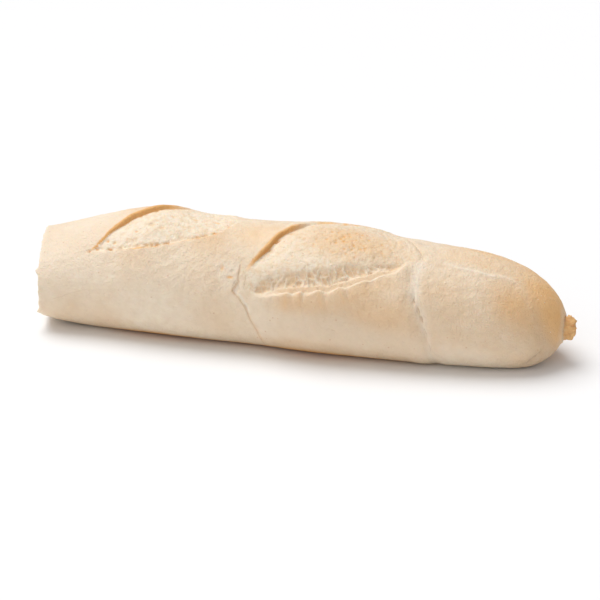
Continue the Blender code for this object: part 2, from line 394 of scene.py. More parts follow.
LEDGE_START, LEDGE_DRAWN = 0.9, 2.4  # where a ledge starts across the line, and its width in ROLL
FULL_LIP = 1.2  # a lip and drop that add up to this much move their points fully sideways


def turn_lip(line, inside, profile, lip, drop, wander=0.0, seed=0, ledge=None, reach_in=None):
    """Turns the skin over along a line. Lip and drop give heights at distances along the line, ledge
    the width of the flat step behind the lip, and reach_in how far the lip's edge strays inwards.
    Returns which spots it reached, how far across the line each was, and how far along. Clears the
    crumb up to the line."""
    which, gap, nearest, reached, _ = beside(line)
    mine, here = inside[which], PLAIN[which]
    sign = np.where(mine, 1.0, -1.0)
    crosswise = (SPOTS[which] - nearest) * (sign / np.maximum(gap, 1e-6))[:, None]
    across = gap * sign + wander * (lumps(here, 2.6, seed) + 0.4 * lumps(here, 1.1, seed))
    if reach_in:
        across = across - reach_in(reached) * hill(across, 0.0, 3.0)
    drawn_in = across * (1.0 - 0.5 * hill(across, 0.0, 2.5))
    read_at = drawn_in
    if ledge:
        width = ledge(reached)
        on_ledge = LEDGE_START + LEDGE_DRAWN * (drawn_in - LEDGE_START) / width
        read_at = np.where(drawn_in < LEDGE_START, drawn_in, on_ledge)
        read_at = np.where(drawn_in > LEDGE_START + width, drawn_in + LEDGE_DRAWN - width, read_at)
    moved = spline(profile[:, 0], profile[:, 1], drawn_in)
    lip_share, drop_share = (spline(profile[:, 0], profile[:, k], read_at) for k in (2, 3))
    within = (across >= profile[0, 0]) & (across <= profile[-1, 0])
    lip_here, drop_here = lip(reached), drop(reached)
    amount = np.clip((lip_here + drop_here) / FULL_LIP, 0.0, 1.0) * within
    shift[which] += crosswise * ((moved - across) * amount)[:, None]
    height[which] += (lip_here * lip_share - drop_here * drop_share) * within
    crumb[which[mine]] *= smooth_step(0.2, 1.0, across[mine])
    return which, drawn_in, reached


# %% The small slash, near the cut end
SMALL_NEAR = thread([(24, 22.3), (34, 23.8), (42, 24.7), (48, 24.6), (54, 24), (60, 22),
                     (64.5, 19.7), (70, 16.6), (75, 14), (80, 10.8), (84.5, 4), (87.5, -4)])
SMALL_FAR = thread([(24, 22.3), (26.8, 20.6), (30, 17.4), (33.5, 13), (38, 8.8), (41.6, 4.5),
                    (45.5, 1), (49, -3.2), (52.5, -7.2), (57, -10.5), (63, -13.5), (70, -15),
                    (77, -13.5), (83, -9), (87.5, -4)])
SMALL_INSIDE = between(SMALL_NEAR, SMALL_FAR)

small_ear, across, reached = turn_lip(
    SMALL_FAR, SMALL_INSIDE, EAR,
    lip=lambda at: 0.8 * window(at, 3, 26, 42, 56) + 0.3 * window(at, 0, 6, 70, 78),
    drop=lambda at: 0.6 * window(at, 4, 22, 34, 52) + 0.3 * window(at, 0, 3, 70, 78),
    wander=0.15, seed=3)
across = across / (0.35 + 1.05 * smooth_step(4, 26, reached))
ear_browning_and_shade = 0.61 * window(across, -1.2, -0.4, 0.8, 1.2)
# the darker line low on the ear's wall is painted shade where the ear meets the crumb
ear_browning_and_shade += 0.14 * window(across, 0.4, 0.7, 0.9, 1.1) * window(reached, 0, 8, 28, 44)
at_least(bake_and_shade, ear_browning_and_shade * window(reached, 0, 4, 40, 56), small_ear)
small_near, small_across, small_reached = turn_lip(
    SMALL_NEAR, SMALL_INSIDE, TORN,
    lip=lambda at: 0.30 * window(at, 2, 8, 62, 74),
    drop=lambda at: (0.35 + 0.3 * np.sin(at * 0.37) ** 2) * window(at, 2, 7, 64, 74),
    wander=0.5, seed=4)
print("small slash:", SMALL_INSIDE.sum(), "points inside")

# %% The large slash, in the middle
LARGE_NEAR = thread([(96.5, 34.5), (98.5, 36.2), (101, 37.4), (104.5, 38), (110, 37.8),
                     (116, 38), (120, 37.5), (124.5, 37.1), (130, 35.7), (133.5, 35),
                     (137, 33.2), (142, 30.6), (148, 27.5), (153, 23.6), (158, 20.2),
                     (161.2, 16), (163.4, 13), (165.3, 10.8)])
LARGE_FAR = thread([(96.5, 34.5), (97.3, 32), (96.8, 29), (97.8, 26), (100, 21.5), (103.2, 16),
                    (105.8, 9.5), (109, 4.5), (112, 0.8), (115.5, -3.2), (120, -6.6),
                    (128, -9.3), (138, -11), (147, -11), (154, -7.6), (159.4, -0.6),
                    (163.4, 4.6), (165.6, 8.4), (165.3, 10.8)])
LARGE_INSIDE = between(LARGE_NEAR, LARGE_FAR)

large_ear, across, reached = turn_lip(
    LARGE_FAR, LARGE_INSIDE, EAR,
    lip=lambda at: 1.0 * window(at, 8, 20, 34, 48) + 0.3 * window(at, 30, 40, 60, 74),
    drop=lambda at: 1.15 * window(at, 6, 20, 32, 48) + 0.35 * window(at, 30, 40, 78, 90),
    wander=0.12, seed=5)
skyline_edge = 0.5 + 0.5 * np.sin(reached * 0.9 + 2.0 * np.sin(reached * 0.31))
skyline_edge *= window(across, -0.8, 0.0, 0.9, 1.5) * window(reached, 42, 48, 60, 74)
across = across / (0.5 + 0.5 * smooth_step(8, 20, reached))
ear_browning_and_shade = 0.56 * window(across, -1.2, -0.2, 0.9, 1.4)
# the darker line low on the ear's wall, in the slash's middle, is painted shade where the ear meets
# the crumb
ear_browning_and_shade += 0.25 * window(across, 0.2, 0.7, 1.0, 1.4) * window(reached, 10, 18, 26, 36)
at_least(bake_and_shade, ear_browning_and_shade * window(reached, 5, 13, 34, 44), large_ear)
at_least(bake_and_shade, 0.45 * skyline_edge, large_ear)

# %% The large slash's near lip
NOTCHES = (0.0, 12.5, 22.5, 27.0, 36.0, 44.5, 55.5, 66.0)  # where the lip's lobes end


def lobe(at):
    """The near lip swells towards each notch, then falls off steeply."""
    value = np.zeros_like(at)
    for start, end in zip(NOTCHES, NOTCHES[1:]):
        share = (at - start) / (end - start)
        value += np.clip(share, 0.0, 1.0) ** 1.2 * (1.0 - smooth_step(0.72, 1.0, share))
    return value * window(at, 8, 22, 50, 64)


def ledge_width(at):
    return 0.5 + 2.7 * window(at, 4, 22, 56, 74)


def groove_start(at):
    """How far across the line the torn bubbles begin."""
    return ledge_width(at) + 0.4


def groove_height(at):
    return 3.0 + 3.6 * window(at, 0, 14, 46, 62)


large_near, across, reached = turn_lip(
    LARGE_NEAR, LARGE_INSIDE, ROLL,
    lip=lambda at: 0.75 * window(at, 2, 14, 66, 80) + 0.75 * lobe(at),
    drop=lambda at: 1.5 * window(at, 0, 11, 62, 79),
    wander=0.2, seed=6, ledge=ledge_width, reach_in=lambda at: 2.2 * lobe(at))
print("large slash:", LARGE_INSIDE.sum(), "points inside")

# %% Lobes along the near lip
below = window(across, -3.6, -1.2, -0.3, 0.5) * window(reached, 18, 25, 52, 64)
notch = np.max([hill(reached - 0.22 * across, end + 0.6, 1.6) for end in NOTCHES[2:-1]], axis=0)
height[large_near] -= 0.3 * below * notch
at_least(pale, 0.45 * below * notch**6, large_near)
# a painted highlight along the near lip's crest
at_least(pale, 0.28 * window(across, -1.6, -0.5, 0.1, 0.5) * window(reached, 8, 16, 60, 74),
         large_near)
# peach on each lobe's right side, which turns from the lamp: browning with painted shade
at_least(bake_and_shade, 0.36 * lobe(reached) ** 1.2 * window(across, -8.0, -3.5, -1.2, -0.2), large_near)
at_least(bake_and_shade, 0.16 * window(across, -10, -3, -0.6, 0.4) * window(reached, 12, 24, 58, 74),
         large_near)

# %% [markdown]
# ## Crumb
#
# Where the crust opened, the dough inside dried into crumb: small pits all over, and along the
# large slash's near lip a row of torn gas bubbles with thin walls between them. Bubbles are cells,
# so cell noise gives them: bowls in the cells, and walls where two cells meet. Beside the lip the
# cells are drawn out across the groove, the way the dough was pulled.

# %% Crumb surface
where = np.flatnonzero(crumb > 0.0)
points = PLAIN[where]
closer = 1.0 - 0.35 * LARGE_INSIDE[where]  # the large slash's crumb is the smoother one
_, wall, own = cells(points / 2.6, 1)
bowls = smooth_step(0.0, 0.5, wall) * smooth_step(0.66, 0.9, own)
nearest, _, own = cells(points / 1.7, 2)
pinholes = (1.0 - smooth_step(0.15, 0.45, nearest)) * smooth_step(0.74, 0.84, own)
lumpy = 0.24 * lumps(points, 5.0, 8) + 0.11 * closer * lumps(points, 1.8, 9)
height[where] += crumb[where] * (lumpy - 0.34 * closer * bowls - 0.34 * pinholes)
# painted shade in the crumb's bowls and pinholes
at_least(bake_and_shade, crumb[where] * closer * 0.13 * np.maximum(0.7 * bowls, pinholes), where)
print("crumb:", len(where), "points")

# %% How the crumb bulges, and its larger pits
height += 0.9 * region((100, 118, 142, 160), (-6, 10, 20, 32)) * LARGE_INSIDE
height += 0.8 * blush((76.5, -10), (6, 5)) + 0.6 * blush((140, -10), (8, 6))
height -= 0.6 * blush((152.5, -11), (5, 8))
# each larger pit is coloured by its strength: browning, with painted shade inside the pit
for middle, radii, turn, strength in (
        ((107, 12.5), (1.3, 0.45), -0.9, 0.5), ((111.5, 6.8), (1.1, 0.4), -0.5, 0.5),
        ((110.5, 3.2), (1, 0.35), -0.4, 0.6), ((104.8, 17.5), (0.8, 0.35), -0.9, 0.35),
        ((118, -0.8), (0.8, 0.5), 0, 0.5), ((79, 9.5), (1.2, 0.5), 0.2, 0.7),
        ((36.2, 19.8), (0.8, 0.6), 0, 0.4), ((46, 16), (0.7, 0.5), 0, 0.4),
        ((77.5, 1.5), (1, 0.5), 0.1, 0.5), ((28.5, 21.5), (0.8, 0.6), 0, 0.5),
        ((68, 2), (1.6, 0.5), 0.1, 0.35), ((59, 4), (1, 0.4), 0.2, 0.3),
        ((52, 12), (1.2, 0.9), 0, 0.25), ((57, 13), (1.4, 1), 0, 0.22),
        ((33, 18.5), (0.7, 0.5), 0.4, 0.5)):
    torn = dimple(middle, radii, turn, edge=0.7) * crumb
    height -= 0.55 * torn
    at_least(bake_and_shade, strength * torn)

# %% Torn bubbles in the large slash's groove
behind = across - groove_start(reached)
reach_up = groove_height(reached)
zone = window(behind, -0.2, 0.5, reach_up - 1.6, reach_up + 0.8) * window(reached, 1, 8, 66, 76)
zone = zone * LARGE_INSIDE[large_near]
warp = 0.5 * lumps(PLAIN[large_near], 5.0, 14)
bubble = np.zeros(len(across))
for wide, tall, deep, kept_over, seed in ((4.8, 5.4, 0.95, 0.0, 5), (2.4, 2.6, 0.65, 0.1, 6)):
    torn = np.stack([reached / wide + warp, behind / tall + 0.5, np.zeros(len(across))], 1)
    _, wall, own = cells(torn, seed)
    bowl = smooth_step(0.02, 0.22, wall) * smooth_step(kept_over - 0.1, kept_over + 0.3, own)
    bubble = np.maximum(bubble, deep * bowl)
walls = (1.0 - smooth_step(0.0, 0.35, bubble)) * smooth_step(0.8, 2.0, behind)
height[large_near] -= bubble * zone
# painted warm shade down in the groove, darker in the deeper bubbles
at_least(bake_and_shade, zone * (0.05 + 0.14 * smooth_step(0.3, 1.0, bubble)), large_near)
at_least(pale, 0.6 * zone * walls, large_near)
on_ledge = window(across, 0.7, 1.2, groove_start(reached) - 0.4, groove_start(reached))
on_ledge *= window(reached, 10, 18, 62, 74)
crumb[large_near] *= 1.0 - 0.8 * on_ledge
at_least(bake_and_shade, 0.10 * on_ledge, large_near)
print("torn bubbles reach", (bubble * zone).max().round(2), "mm deep")

# %% Torn bubbles along the small slash's near lip
here = PLAIN[small_near]
across, reached = small_across, small_reached
torn = np.stack([reached / 3.6 + 0.4 * lumps(here, 4.0, 17), across / 1.7, np.zeros(len(across))], 1)
_, wall, own = cells(torn, 15)
holes = smooth_step(0.03, 0.35, wall) * smooth_step(0.15, 0.45, own) * SMALL_INSIDE[small_near]
broken = smooth_step(-0.7, -0.1, lumps(here, 6.0, 16))
holes *= window(across, 0.0, 0.4, 1.1, 2.6) * window(reached, 5, 11, 64, 74) * broken
height[small_near] -= 0.95 * holes
# painted warm shade in the torn holes
at_least(bake_and_shade, 0.5 * holes, small_near)
rind = window(across, -0.5, -0.1, 0.3, 0.8) * window(reached, 14, 22, 64, 74)
at_least(bake_and_shade, 0.5 * rind * smooth_step(-0.5, 0.3, lumps(here, 3.0, 18)), small_near)


# %% [markdown]
# ## Seams, creases and wrinkles
#
# The crust also gave way between the swellings. Below the large slash's left end it overlaps itself
# in a thin seam, and past its right end it only stretched, into a pale shallow valley. The rounded
# end has a soft fold and a tuck where the dough was sealed. Each is a line with its own profile,
# which may differ on its two sides.

# %% Seam between the two swellings
SEAM = thread([(94.4, 22), (93.8, 27.5), (93.8, 30.5), (94.1, 32.2), (93, 34.3), (92, 36),
               (92.8, 37.4), (94.2, 38.3), (97.8, 42.8), (100.2, 47.9), (102.5, 52.6),
               (103.3, 56), (104, 59.6), (104.6, 66)], 0.5)
which, gap, _, reached, side = beside(SEAM)
across = gap * side + 0.5 * lumps(PLAIN[which], 2.4, 22)
amount = window(reached, 1, 6, 40, 44)
swollen = hill(across, 0.0, 3.2) * (across < 0)
trough = window(across, -0.1, 0.25, 0.5, 3.0) * (across >= 0)
height[which] += amount * (0.14 * swollen - 0.22 * trough)
shift[which, 0] += amount * 0.25 * window(across, -1.2, -0.3, 0.0, 0.3)
# painted warm shade down in the seam's trough
at_least(bake_and_shade, 0.12 * amount * window(across, -0.6, -0.1, 0.5, 1.2), which)
whitened = window(across, 0.2, 0.5, 1.3, 2.2) * window(reached, 8, 14, 24, 30)
at_least(pale, 0.9 * amount * whitened, which)
print("seam:", len(which), "points")

# %% A pocket and a torn patch beside it
hole = dimple((24.6, 21.9), (0.8, 0.7), edge=0.6)
height -= 0.9 * hole
# painted shade in the pocket
at_least(bake_and_shade, 0.4 * hole)
height -= 0.6 * dimple((94.2, 35.0), (1.3, 2.6), turn=0.2)
patch = dimple((89.6, 29.0), (4.4, 4.2), edge=0.8)
which = np.flatnonzero(patch > 0)
_, wall, own = cells(PLAIN[which] / 2.6, 7)
height[which] -= patch[which] * 0.45 * smooth_step(0.0, 0.4, wall) * own
at_least(pale, 0.45 * patch)
for middle, radii, strength in (((90.8, 30.9), (1.2, 0.5), 0.55), ((86.9, 27.5), (0.5, 1.3), 0.4)):
    mark = dimple(middle, radii, edge=0.8)
    height -= 0.3 * mark
    at_least(bake_and_shade, strength * mark)

# %% Stretched valley past the large slash
STRETCH = thread([(165.3, 10.8), (165, 17), (165.2, 23.8), (165.9, 28.6), (166.8, 30.8),
                  (168.8, 33.5), (170, 36), (170.8, 39.1), (172, 42.1), (172.8, 45.4),
                  (173.5, 49.1), (174, 53.8), (174.5, 60), (175, 67)])
which, gap, _, reached, side = beside(STRETCH)
across = gap * side
amount = window(reached, 0, 8, 50, 58)
streaks = grain(7.0, 0.9, 1.45, 21, SPOTS[which])
width = 2.0 + 0.8 * (1.0 - smooth_step(8.0, 20.0, reached))
depth = 0.28 + 0.5 * smooth_step(14, 28, reached)
height[which] += amount * (0.22 * streaks * hill(across, 0.0, 4.0)
                           - depth * hill(across, 0.0, width))
height[which] += amount * 0.5 * hill(across, -6.0, 3.6)
whitened = (0.3 + 0.4 * smooth_step(12, 24, reached)) * (0.8 + 0.5 * streaks)
at_least(pale, whitened * amount * hill(across, 0.0, width + 0.2), which)
at_least(pale, 0.9 * window(reached, 0, 3, 16, 26) * hill(across, 0.6, 2.0), which)
for middle, turn, long in (
        ((166.2, 30.3), 1.6, 1.4), ((168.4, 33.6), 1.3, 1.7), ((169.9, 36.3), 1.1, 1.5)):
    opened = dimple(middle, (long, 0.4), turn, edge=0.8)
    height -= 0.5 * opened
    pale *= 1.0 - 0.6 * opened
print("valley:", len(which), "points")


# %% Fine lines: ridge, fold, tuck and hairlines
def crease(points, depth, half_width, lobe=0.0, lobe_at=3.0, whiten=0.0):
    """A valley along a line, or a ridge if depth is negative, with a lobe of dough to its right."""
    which, gap, _, reached, side = beside(thread(points))
    across = gap * side
    length = reached.max()
    amount = window(reached, 0.0, 0.25 * length, 0.75 * length, length)
    valley = hill(across, 0.0, half_width)
    height[which] += amount * (lobe * hill(across, lobe_at, 2.5) - depth * valley)
    at_least(pale, whiten * amount * valley, which)


crease([(171, 10), (176, 10.5), (181, 11.7), (187, 11.6), (194, 11.7), (200, 9.4), (206, 11),
        (212, 14)], -0.42, 0.9, whiten=0.7)
crease([(196, 12), (200, 10.5), (205, 9.5), (210, 11)], -0.15, 0.7, whiten=0.25)
crease([(198, 38), (201, 36.2), (205.8, 32), (211.3, 26.5), (216.5, 18.6), (219.5, 11)], 0.5, 2.6)
crease([(209, 45), (212, 37.8), (214.3, 33), (216, 28.8), (218, 22.5)], 1.2, 0.8, 0.7, 2.6)
crease([(5, 38.6), (9.7, 38.4), (19, 37.8), (25.7, 38.3), (34, 39.7), (42.5, 41.3), (50, 42)],
       -0.12, 0.6, whiten=0.15)
crease([(53, 34), (56.7, 32.9), (63.2, 30.4), (70.9, 26.5), (78, 22.2)], -0.12, 0.6, whiten=0.12)
crease([(71.9, 35.6), (71.6, 34.2), (70.9, 31.8)], -0.2, 0.45, whiten=0.5)
crease([(154, -8), (158.6, -2), (163, 4.2), (165.8, 8.8), (166.2, 13)], 0.5, 0.8, 0.15, -2.0)
for points in ([(147, -7), (152, -1.5), (154.6, 5), (154, 9.5)],
               [(151, -8), (156, -1.5), (158.8, 5), (158.2, 10)],
               [(155.5, -4.5), (160, 2.5), (161.6, 8.5)], [(143, -8), (147.5, -3), (149.5, 2)]):
    crease(points, 0.24, 0.6, 0.08, 1.6, whiten=0.15)


# %% Hair-thin slits, drawn as painted shade: each point near one keeps its distance to that side of it, and how dark the painted shade there is
def paint_slit_shade(points, darkness):
    which, gap, _, reached, side = beside(thread(points), reach=3.0)
    length = reached.max()
    strength = darkness * window(reached, 0.0, 1.5, length - 1.5, length) * (gap < 1.6)
    nearer = (strength > 0.0) & (gap < np.abs(slit_side[which]))
    slit_side[which[nearer]] = (gap * side)[nearer]
    slit_shade[which[nearer]] = strength[nearer]


for darkness, points in (
        (0.22, SEAM[8:]),
        (0.3, [(93.9, 31.2), (92.6, 33.2), (91.9, 35.2), (92.6, 36.6), (94.2, 38.3)]),
        (0.3, [(97.2, 28.5), (97.3, 31.5), (97.0, 34.5), (97.6, 36.0)]),
        (0.14, [(5, 38.6), (9.7, 38.4), (19, 37.8), (25.7, 38.3)]),
        (0.16, [(60, 31.7), (63.2, 30.6), (68, 28.3)]),
        (0.3, [(155.5, -6), (158.6, -2), (163, 4.2), (165.8, 8.8), (166.0, 11)]),
        (0.5, [(165.6, 28.6), (166.2, 30.0), (167.2, 31.4)]),
        (0.5, [(167.6, 31.6), (168.6, 33.4), (169.2, 35.2)]),
        (0.4, [(169.4, 35.0), (170.2, 36.6), (170.6, 38.6)]),
        (0.3, [(171.0, 39.8), (172.0, 42.1), (172.6, 44.4)]),
        (0.2, [(173.0, 45.6), (173.5, 48.5), (173.8, 51.5)]),
        (0.3, [(209.8, 43), (212, 37.8), (214.3, 33), (216, 28.8)])):
    paint_slit_shade(points, darkness)
print("slits:", (slit_shade > 0.0).sum(), "points")

# %% Leathery wrinkles on the crust
crust = (1.0 - crumb) * FADE
wrinkled = region((48, 64, 92, 100), (10, 20, 32, 42))
height += crust * (0.16 * wrinkled * grain(9.0, 1.5, -0.75, 31) + 0.09 * grain(5.0, 2.2, 1.2, 32))
height += crust * (0.13 * lumps(PLAIN, 3.4, 33) + 0.10 * lumps(PLAIN, 1.6, 34))

# %% Browning: blushes on the swellings and a darker patch by the rounded end; painted shade along the back of the top near that end, and painted light over the cut end's half
tone = 0.5 + 0.5 * lumps(PLAIN, 9.0, 41)
crown = (137, 8.5), (18, 10)  # where the large slash's crumb caught the heat
for strength, mask in (
        (0.14, blush((83, 15), (9, 7)) * tone),
        (0.36, blush(*crown) * (0.3 + 0.7 * tone)),
        (0.22, blush((45, -4), (18, 7), 0.5) * (1.0 - crumb)),
        (0.18, blush((98, 8), (9, 7)) * (1.0 - crumb)),
        (0.42, blush((205.5, 19), (9, 9)) * (0.5 + 0.5 * tone)),
        (0.60, smooth_step(192, 218, ALONG) * (0.6 + 0.4 * tone)
         * (1.0 - smooth_step(10, 28, ACROSS))),
        (0.22, smooth_step(178, 200, ALONG) * (0.4 + 0.6 * tone)
         * (1.0 - smooth_step(-4, 10, ACROSS))),
        # painted shade along the back of the top near the rounded end
        (0.32, smooth_step(166, 190, ALONG) * window(ACROSS, -40, -24, -8, 2) * (0.5 + 0.5 * tone)),
        (0.16, blush((152, 37), (10, 7))),
        (0.10, region((168, 178, 205, 212), (-12, -4, 7, 10))),
        (1.00, smooth_step(61.5, 70.0, np.abs(ACROSS)) * (0.75 + 0.25 * tone))):
    at_least(bake_and_shade, strength * mask)
at_least(pale, 0.32 * region((10, 24, 70, 100), (26, 36, 50, 60)))
at_least(pale, 0.35 * region((90, 110, 190, 210), (40, 48, 54, 60)))
# painted light: the cut end's half paler over its top and front
at_least(pale, 0.5 * (1.0 - smooth_step(24, 60, ALONG)) * window(ACROSS, -30, -16, 20, 56))

# %% Tan, with painted shade in the hollow between the swellings, and the crown's browned pits
tan += 0.24 * smooth_step(70, 150, ALONG) * (1.0 - smooth_step(14, 30, ACROSS))
tan += 0.75 * smooth_step(203, 220, ALONG) + 0.35 * blush(*crown) * LARGE_INSIDE
# the first blush is painted shade in the hollow between the two swellings
for strength, middle, radii in ((0.45, (88, 21), (9, 9)), (0.2, (112, 30), (14, 8)),
                                (0.42, (206, 20), (11, 9)), (0.25, (168, 32), (6, 12)),
                                (0.35, (133, 45), (22, 8))):
    tan += strength * blush(middle, radii)
tan[large_near] += 0.55 * on_ledge
pitted = blush((136, 8.5), (17, 9)) * LARGE_INSIDE
which = np.flatnonzero(pitted > 0)
nearest, _, own = cells(PLAIN[which] / 2.2, 9)
pits = pitted[which] * (1.0 - smooth_step(0.15, 0.5, nearest)) * (own > 0.3)
height[which] -= 0.4 * pits
at_least(bake_and_shade, 0.6 * pits, which)
tan[which] += 0.5 * pits


# %% [markdown]
# ## The cut end
#
# A blunt knife tears bread as much as it cuts it. The crust's rim is left ragged with a few burrs,
# and the face inside shows open crumb: bubbles of many sizes, larger towards the middle, with a
# denser band just under the crust. The face is made of rings that shrink from the rim to the
# middle, each pressed in by the bubbles.

# %% Ragged rim
rim_share = 1.0 - smooth_step(0.0, 3.0, ALONG)
which = np.flatnonzero(rim_share > 0)
edge_points = PLAIN[which] * (0.0, 1.0, 1.0)
ragged = 0.35 * lumps(edge_points, 2.4, 51) + 0.25 * lumps(edge_points, 0.9, 52)
for burr, at, half_width in ((1.1, 25.5, 1.3), (1.5, 45.5, 1.8), (0.8, -22.0, 1.6)):
    ragged += burr * hill(ACROSS[which], at, half_width)
shift[which, 0] -= rim_share[which] * ragged
at_least(crumb, 0.75 * (1.0 - smooth_step(0.3, 1.4, ALONG)))

# %% The wrapped body
moved = SPOTS + shift
BODY = wrap(np.maximum(moved[:, 0], 0.0), moved[:, 1], height)
BODY[:, 0] += np.minimum(moved[:, 0], 0.0)
BODY[:, 2] = np.maximum(BODY[:, 2], 0.0)
print("relief:", height.min().round(2), "to", height.max().round(2), "mm")


# %% Bubbles of the cut face: round and oval, larger towards the middle
def face_bubbles(rim, tries=2600, seed=61):
    """Each bubble's middle, radius, stretch and turn, with no two overlapping by much."""
    chance = np.random.default_rng(seed)
    low, high = rim[:, 1:].min(0), rim[:, 1:].max(0)
    centre = (low + high) / 2.0
    found = []
    for _ in range(tries):
        spot = chance.uniform(low, high)
        off_centre = np.hypot(*((spot - centre) / (high - centre)))
        radius = (0.6 + 2.6 * chance.random() ** 3.0) * (1.15 - 0.5 * off_centre)
        if off_centre > 0.93 - radius / 30.0:
            continue
        if all(math.dist(spot, other[:2]) > 0.82 * (radius + other[2]) for other in found):
            found.append((*spot, radius, chance.uniform(1.0, 1.7), chance.uniform(0.0, math.pi)))
    return np.array(found)


# %% Rings of the cut face, from its middle out to the rim
FACE_RINGS = 52
columns = len(COLUMNS)
rim = BODY[:columns]
middle = rim.mean(0)
middle[0] = -CUT_SLANT * middle[1]
face_rings = [middle[None]]
RING_DEPTHS = np.arange(FACE_RINGS - 1, 0, -1) / FACE_RINGS  # 0 at the rim, 1 in the middle
for ring_depth in RING_DEPTHS:
    inward = ring_depth**0.92
    ring = rim * (1.0 - inward) + middle * inward
    flat = -CUT_SLANT * ring[:, 1:2]
    ring[:, :1] = flat + (ring[:, :1] - flat) * (1.0 - inward) ** 6
    face_rings.append(ring)
FACE = np.concatenate(face_rings)
face_depth = np.concatenate([[1.0], np.repeat(RING_DEPTHS, columns)])
open_crumb = smooth_step(0.04, 0.14, face_depth)
flat_face = FACE * (0.0, 1.0, 1.0)
pressed = np.zeros(len(FACE))
for y, z, radius, stretch, turn in face_bubbles(rim):
    cosine, sine = math.cos(turn), math.sin(turn)
    u = ((FACE[:, 1] - y) * cosine + (FACE[:, 2] - z) * sine) / (radius * stretch)
    v = ((FACE[:, 2] - z) * cosine - (FACE[:, 1] - y) * sine) / radius
    at_least(pressed, 0.95 * radius * np.sqrt(np.clip(1.0 - u * u - v * v, 0.0, 1.0)))
# painted shade in the cut face's bubble holes, darker where a hole is deeper
face_hole_shade = 0.16 * smooth_step(0.5, 2.2, pressed)
pressed += (0.12 * lumps(flat_face, 1.1, 64) + 0.4 * lumps(flat_face, 8.0, 65)) * open_crumb
FACE[:, 0] += pressed
print("cut face pressed in by up to", pressed.max().round(1), "mm")

# %% [markdown]
# ## The torn scrap
#
# The loaf was baked touching its neighbour, or was pulled off a longer roll: a scrap of browned
# crust stands out of the rounded end. The same columns of points run on past the end, through a
# small blunt face and out round the scrap, so the loaf stays one closed skin.

# %% Rings of the scrap
SCRAP = (  # distance along, half thickness, half height, how ragged
    (222.4, 4.9, 5, 0), (222.2, 3.9, 4.7, 0.1), (222.4, 3.2, 4.7, 0.3), (222.9, 2.8, 4.9, 0.6),
    (223.5, 2.7, 5.1, 0.8), (224.1, 2.6, 5.2, 0.9), (224.7, 2.5, 5.1, 1), (225.3, 2.3, 4.8, 1),
    (225.9, 2, 4.3, 1), (226.3, 1.5, 3.5, 1), (226.6, 0.9, 2.2, 0.8),
)
turn = COLUMNS * math.pi
scrap_rings = []
for along, half_thickness, half_height, rough in SCRAP:
    centre = np.array([along, SECTIONS[-1][3], TIP_HEIGHT])
    out = np.stack([np.zeros(columns), -half_thickness * np.sin(turn), half_height * np.cos(turn)], 1)
    swell = 0.18 * lumps(centre + out, 2.4, 71) + 0.22 * lumps(centre + out, 1.1, 72)
    ring = centre + out * (1.0 + rough * swell)[:, None]
    ring[:, 0] += rough * (1.0 * lumps(out + 5.0, 2.3, 73) + 1.1 * lumps(out, 1.3, 74))
    scrap_rings.append(ring)
SCRAP_POINTS = np.concatenate(scrap_rings + [scrap_rings[-1].mean(0)[None] + [0.2, 0.0, 0.0]])
scrap_bake = np.repeat([0.5 * min(1.0, rough * 1.6) for *_, rough in SCRAP], columns)
print("scrap reaches", SCRAP_POINTS[:, 0].max().round(1), "mm along")


# %% [markdown]
# ## One closed skin
#
# The face's rings, the body's rows and the scrap's rings are now joined in one mesh. A few numbers
# are kept at every point for the finish to read: how far it is crumb; how brown it baked, with
# painted shade in its hollows, pits and creases; how tan it is, with painted shade between the
# swellings; how pale it is, from stretching, with painted light towards the cut end and a painted
# highlight on a lip; and how close it is to a slit, with the painted shade in each hair-thin slit.
# Two more say where flour and loose crumbs lie. Keeping them in the mesh, rather than painting an
# image, keeps them sharp at any distance.

# %% Mesh helpers
def closed_skin(name, points, columns):
    """Joins rows of points into a closed tube. The first and the last point are the middles of the
    fans of triangles that close it."""
    mesh = bpy.data.meshes.new(name)
    last = len(points) - 1
    ids = np.arange(1, last).reshape(-1, columns)
    following = np.roll(ids, -1, axis=1)
    quads = np.stack([ids[:-1], following[:-1], following[1:], ids[1:]], -1).reshape(-1, 4)
    start = [(0, b, a) for a, b in zip(ids[0], following[0])]
    end = [(last, a, b) for a, b in zip(ids[-1], following[-1])]
    mesh.from_pydata(points.tolist(), [], quads.tolist() + start + end)
    mesh.validate()
    mesh.shade_smooth()
    return mesh


def show(name, data):
    item = bpy.data.objects.new(name, data)
    bpy.context.scene.collection.objects.link(item)
    return item


# %% The loaf's mesh
skin = closed_skin("loaf", to_frame(np.concatenate([FACE, BODY, SCRAP_POINTS])), columns)


def keep(name, body, face=0.0, scrap=0.0):
    """Keeps a number at every point of the skin."""
    face, scrap = np.broadcast_to(face, len(FACE)), np.broadcast_to(scrap, len(SCRAP_POINTS))
    values = np.concatenate([face, body, scrap]).astype(np.float32)
    skin.attributes.new(name, "FLOAT", "POINT").data.foreach_set("value", values)


rim_pale = 0.4 * smooth_step(220.6, 221.8, ALONG + 0.8 * lumps(PLAIN, 3.0, 75))
floury = (1.0 - crumb) * FADE * smooth_step(0.1, 0.7, lumps(PLAIN, 14.0, 81)) ** 2
keep("crumb", crumb, face=0.75 + 0.25 * open_crumb)
keep("bake_and_shade", bake_and_shade * (1.0 - rim_pale), face_hole_shade, np.append(scrap_bake, 0.9))
keep("pale", np.maximum(pale, rim_pale))
keep("tan", np.clip(tan, 0.0, 1.0), scrap=1.0)
keep("slit_shade", slit_shade)
keep("slit_side", slit_side, FAR_FROM_SLIT, FAR_FROM_SLIT)
keep("dusting", floury * (pale < 0.3))
keep("loose", np.zeros(len(BODY)), face=0.2 * (1.0 - smooth_step(0.1, 0.5, face_depth)))
loaf = show("loaf", skin)
print("loaf:", sum(len(face.vertices) - 2 for face in skin.polygons), "triangles")


